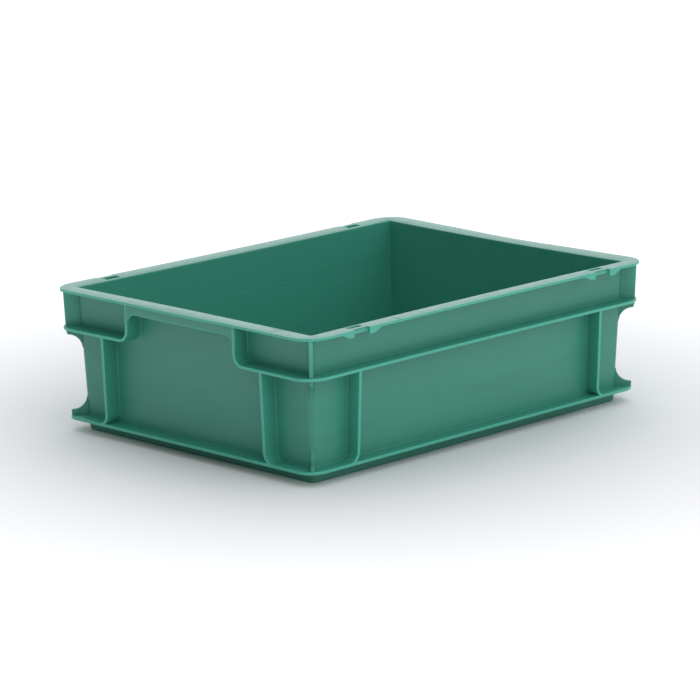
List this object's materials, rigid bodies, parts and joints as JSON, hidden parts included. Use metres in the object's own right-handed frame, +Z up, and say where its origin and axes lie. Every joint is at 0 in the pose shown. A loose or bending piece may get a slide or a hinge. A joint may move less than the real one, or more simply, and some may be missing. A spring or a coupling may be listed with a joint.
{
  "type": "stacking crate",
  "caption": "Open-topped rectangular stacking crate with drafted walls, ribbed outer sides, a flat rim with lid-clip slots and a hand grip on each short side.",
  "frame": {"origin": "middle of the base, on the plane that the crate stands on", "axes": "+X along the 400 mm length, +Y along the 300 mm width, +Z up"},
  "size_m": [0.4, 0.3, 0.12],
  "materials": {
    "tub": "fine matt moulded polypropylene",
    "rim": "moulded polypropylene, slightly polished by stacking",
    "ribs": "moulded polypropylene",
    "grips": "moulded polypropylene"
  },
  "bodies": {
    "root": {"clip_socket_back_left": "rim", "clip_socket_back_right": "rim", "clip_socket_front_left": "rim", "clip_socket_front_right": "rim", "corner_rib_back_left": "ribs", "corner_rib_back_right": "ribs", "corner_rib_front_left": "ribs", "corner_rib_front_right": "ribs", "floor_panel": "tub", "grip_flank_left_back": "grips", "grip_flank_left_front": "grips", "grip_flank_right_back": "grips", "grip_flank_right_front": "grips", "grip_skirt_left": "grips", "grip_skirt_right": "grips", "low_rib_back": "ribs", "low_rib_front": "ribs", "low_rib_left": "ribs", "low_rib_right": "ribs", "lower_gusset_back_left": "ribs", "lower_gusset_back_right": "ribs", "lower_gusset_front_left": "ribs", "lower_gusset_front_right": "ribs", "mid_rib_back": "ribs", "mid_rib_front": "ribs", "mid_rib_left_back": "ribs", "mid_rib_left_front": "ribs", "mid_rib_right_back": "ribs", "mid_rib_right_front": "ribs", "rim_back_left": "rim", "rim_back_middle": "rim", "rim_back_right": "rim", "rim_front_left": "rim", "rim_front_middle": "rim", "rim_front_right": "rim", "rim_left": "rim", "rim_right": "rim", "upper_gusset_back_left": "ribs", "upper_gusset_back_right": "ribs", "upper_gusset_front_left": "ribs", "upper_gusset_front_right": "ribs", "upright_rib_back_left": "ribs", "upright_rib_back_right": "ribs", "upright_rib_front_left": "ribs", "upright_rib_front_right": "ribs", "upright_rib_left_back": "ribs", "upright_rib_left_front": "ribs", "upright_rib_right_back": "ribs", "upright_rib_right_front": "ribs", "wall_back": "tub", "wall_front": "tub", "wall_left": "tub", "wall_right": "tub"}
  },
  "joints": []
}
